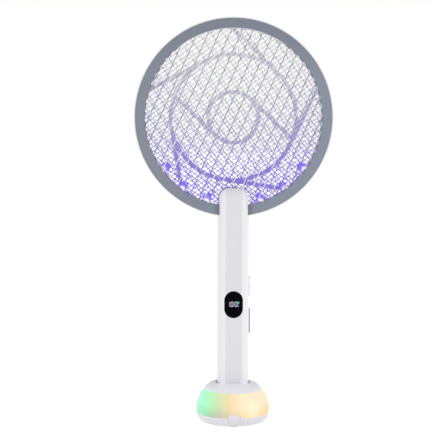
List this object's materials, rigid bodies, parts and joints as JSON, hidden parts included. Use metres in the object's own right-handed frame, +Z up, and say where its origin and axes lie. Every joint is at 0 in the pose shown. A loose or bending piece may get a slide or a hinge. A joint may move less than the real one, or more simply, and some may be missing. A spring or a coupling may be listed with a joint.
{
  "type": "electric fly swatter",
  "caption": "Upright electric fly swatter: round wire-net racket on a slim handle, standing in a round charging dock with a glowing band.",
  "frame": {"origin": "on the table, at the middle of the dock's footprint, which is also the middle of the bounding box", "axes": "+Z up along the handle; +Y to the back; +X to the side that has the switches"},
  "size_m": [0.228, 0.0849, 0.469],
  "materials": {
    "white_plastic": "satin white moulded plastic",
    "grey_plastic": "satin blue-grey moulded plastic",
    "lilac_plastic": "pale translucent moulded plastic",
    "key_plastic": "satin grey key",
    "lamp_plastic": "milky light-diffusing plastic",
    "display_glass": "black gloss window",
    "net_wire": "bright drawn wire",
    "steel": "plated steel",
    "brass": "gold-plated brass",
    "rubber": "soft black rubber",
    "board": "green glass-fibre board",
    "black_plastic": "black moulded plastic",
    "led_violet": "clear violet LED",
    "led_white": "white LED package",
    "cell_wrap": "blue shrink wrap",
    "ferrite": "grey-black ferrite",
    "copper": "enamelled copper wire",
    "lead": "red insulated lead"
  },
  "bodies": {
    "dock": {"dock_base_shell": "white_plastic", "dock_feet": "rubber", "dock_weights": "steel", "dock_control_board": "board", "charge_inlet": "steel", "dock_tact_switch": "black_plastic", "charge_pin_sleeves": "brass", "light_ring_board": "board", "light_ring_leds": "led_white", "lamp_diffuser": "lamp_plastic", "dock_top_cover": "white_plastic", "dock_screws": "steel"},
    "racket": {"handle_front_shell": "white_plastic", "handle_rear_shell": "white_plastic", "handle_end_cap": "white_plastic", "charging_contacts": "brass", "charge_board": "board", "battery_cell": "cell_wrap", "battery_holder": "black_plastic", "battery_clips": "steel", "main_board": "board", "switch_board": "board", "display_module": "black_plastic", "display_window": "display_glass", "slide_switch_body": "black_plastic", "push_tact_switch": "black_plastic", "transformer_core": "ferrite", "transformer_winding": "copper", "storage_capacitor": "lead", "rectifier_diodes": "black_plastic", "net_leads": "lead", "handle_screws": "steel", "neck_screws": "steel", "ring_front_bezel": "grey_plastic", "ring_rear_frame": "white_plastic", "front_guard_net": "net_wire", "high_voltage_net": "net_wire", "rear_guard_net": "net_wire", "front_spacer_ring": "lilac_plastic", "rib_frame": "lilac_plastic", "uv_led_strip": "board", "uv_leds": "led_violet", "ring_screws": "steel"},
    "dock_button": {"dock_button": "white_plastic", "dock_tact_plunger": "black_plastic"},
    "charge_pin_left": {"charge_pin_left": "brass"},
    "charge_pin_right": {"charge_pin_right": "brass"},
    "mode_switch": {"mode_switch_knob": "white_plastic"},
    "push_button": {"push_button": "key_plastic", "push_tact_plunger": "black_plastic"}
  },
  "joints": [
    {"name": "racket_lift", "type": "slide", "parent": "dock", "child": "racket", "axis": [0, 0, 1], "range_m": [0, 0.08]},
    {"name": "mode_slide", "type": "slide", "parent": "racket", "child": "mode_switch", "axis": [0, 0, 1], "range_m": [-0.004, 0.004]},
    {"name": "push_button_press", "type": "slide", "parent": "racket", "child": "push_button", "axis": [-1, 0, 0], "range_m": [0, 0.0008], "stiffness_N_per_m": 900},
    {"name": "dock_button_press", "type": "slide", "parent": "dock", "child": "dock_button", "axis": [0, 1, 0], "range_m": [0, 0.0008], "stiffness_N_per_m": 900},
    {"name": "left_pin_press", "type": "slide", "parent": "dock", "child": "charge_pin_left", "axis": [0, 0, -1], "range_m": [0, 0.0008], "stiffness_N_per_m": 500},
    {"name": "right_pin_press", "type": "slide", "parent": "dock", "child": "charge_pin_right", "axis": [0, 0, -1], "range_m": [0, 0.0008], "stiffness_N_per_m": 500}
  ]
}
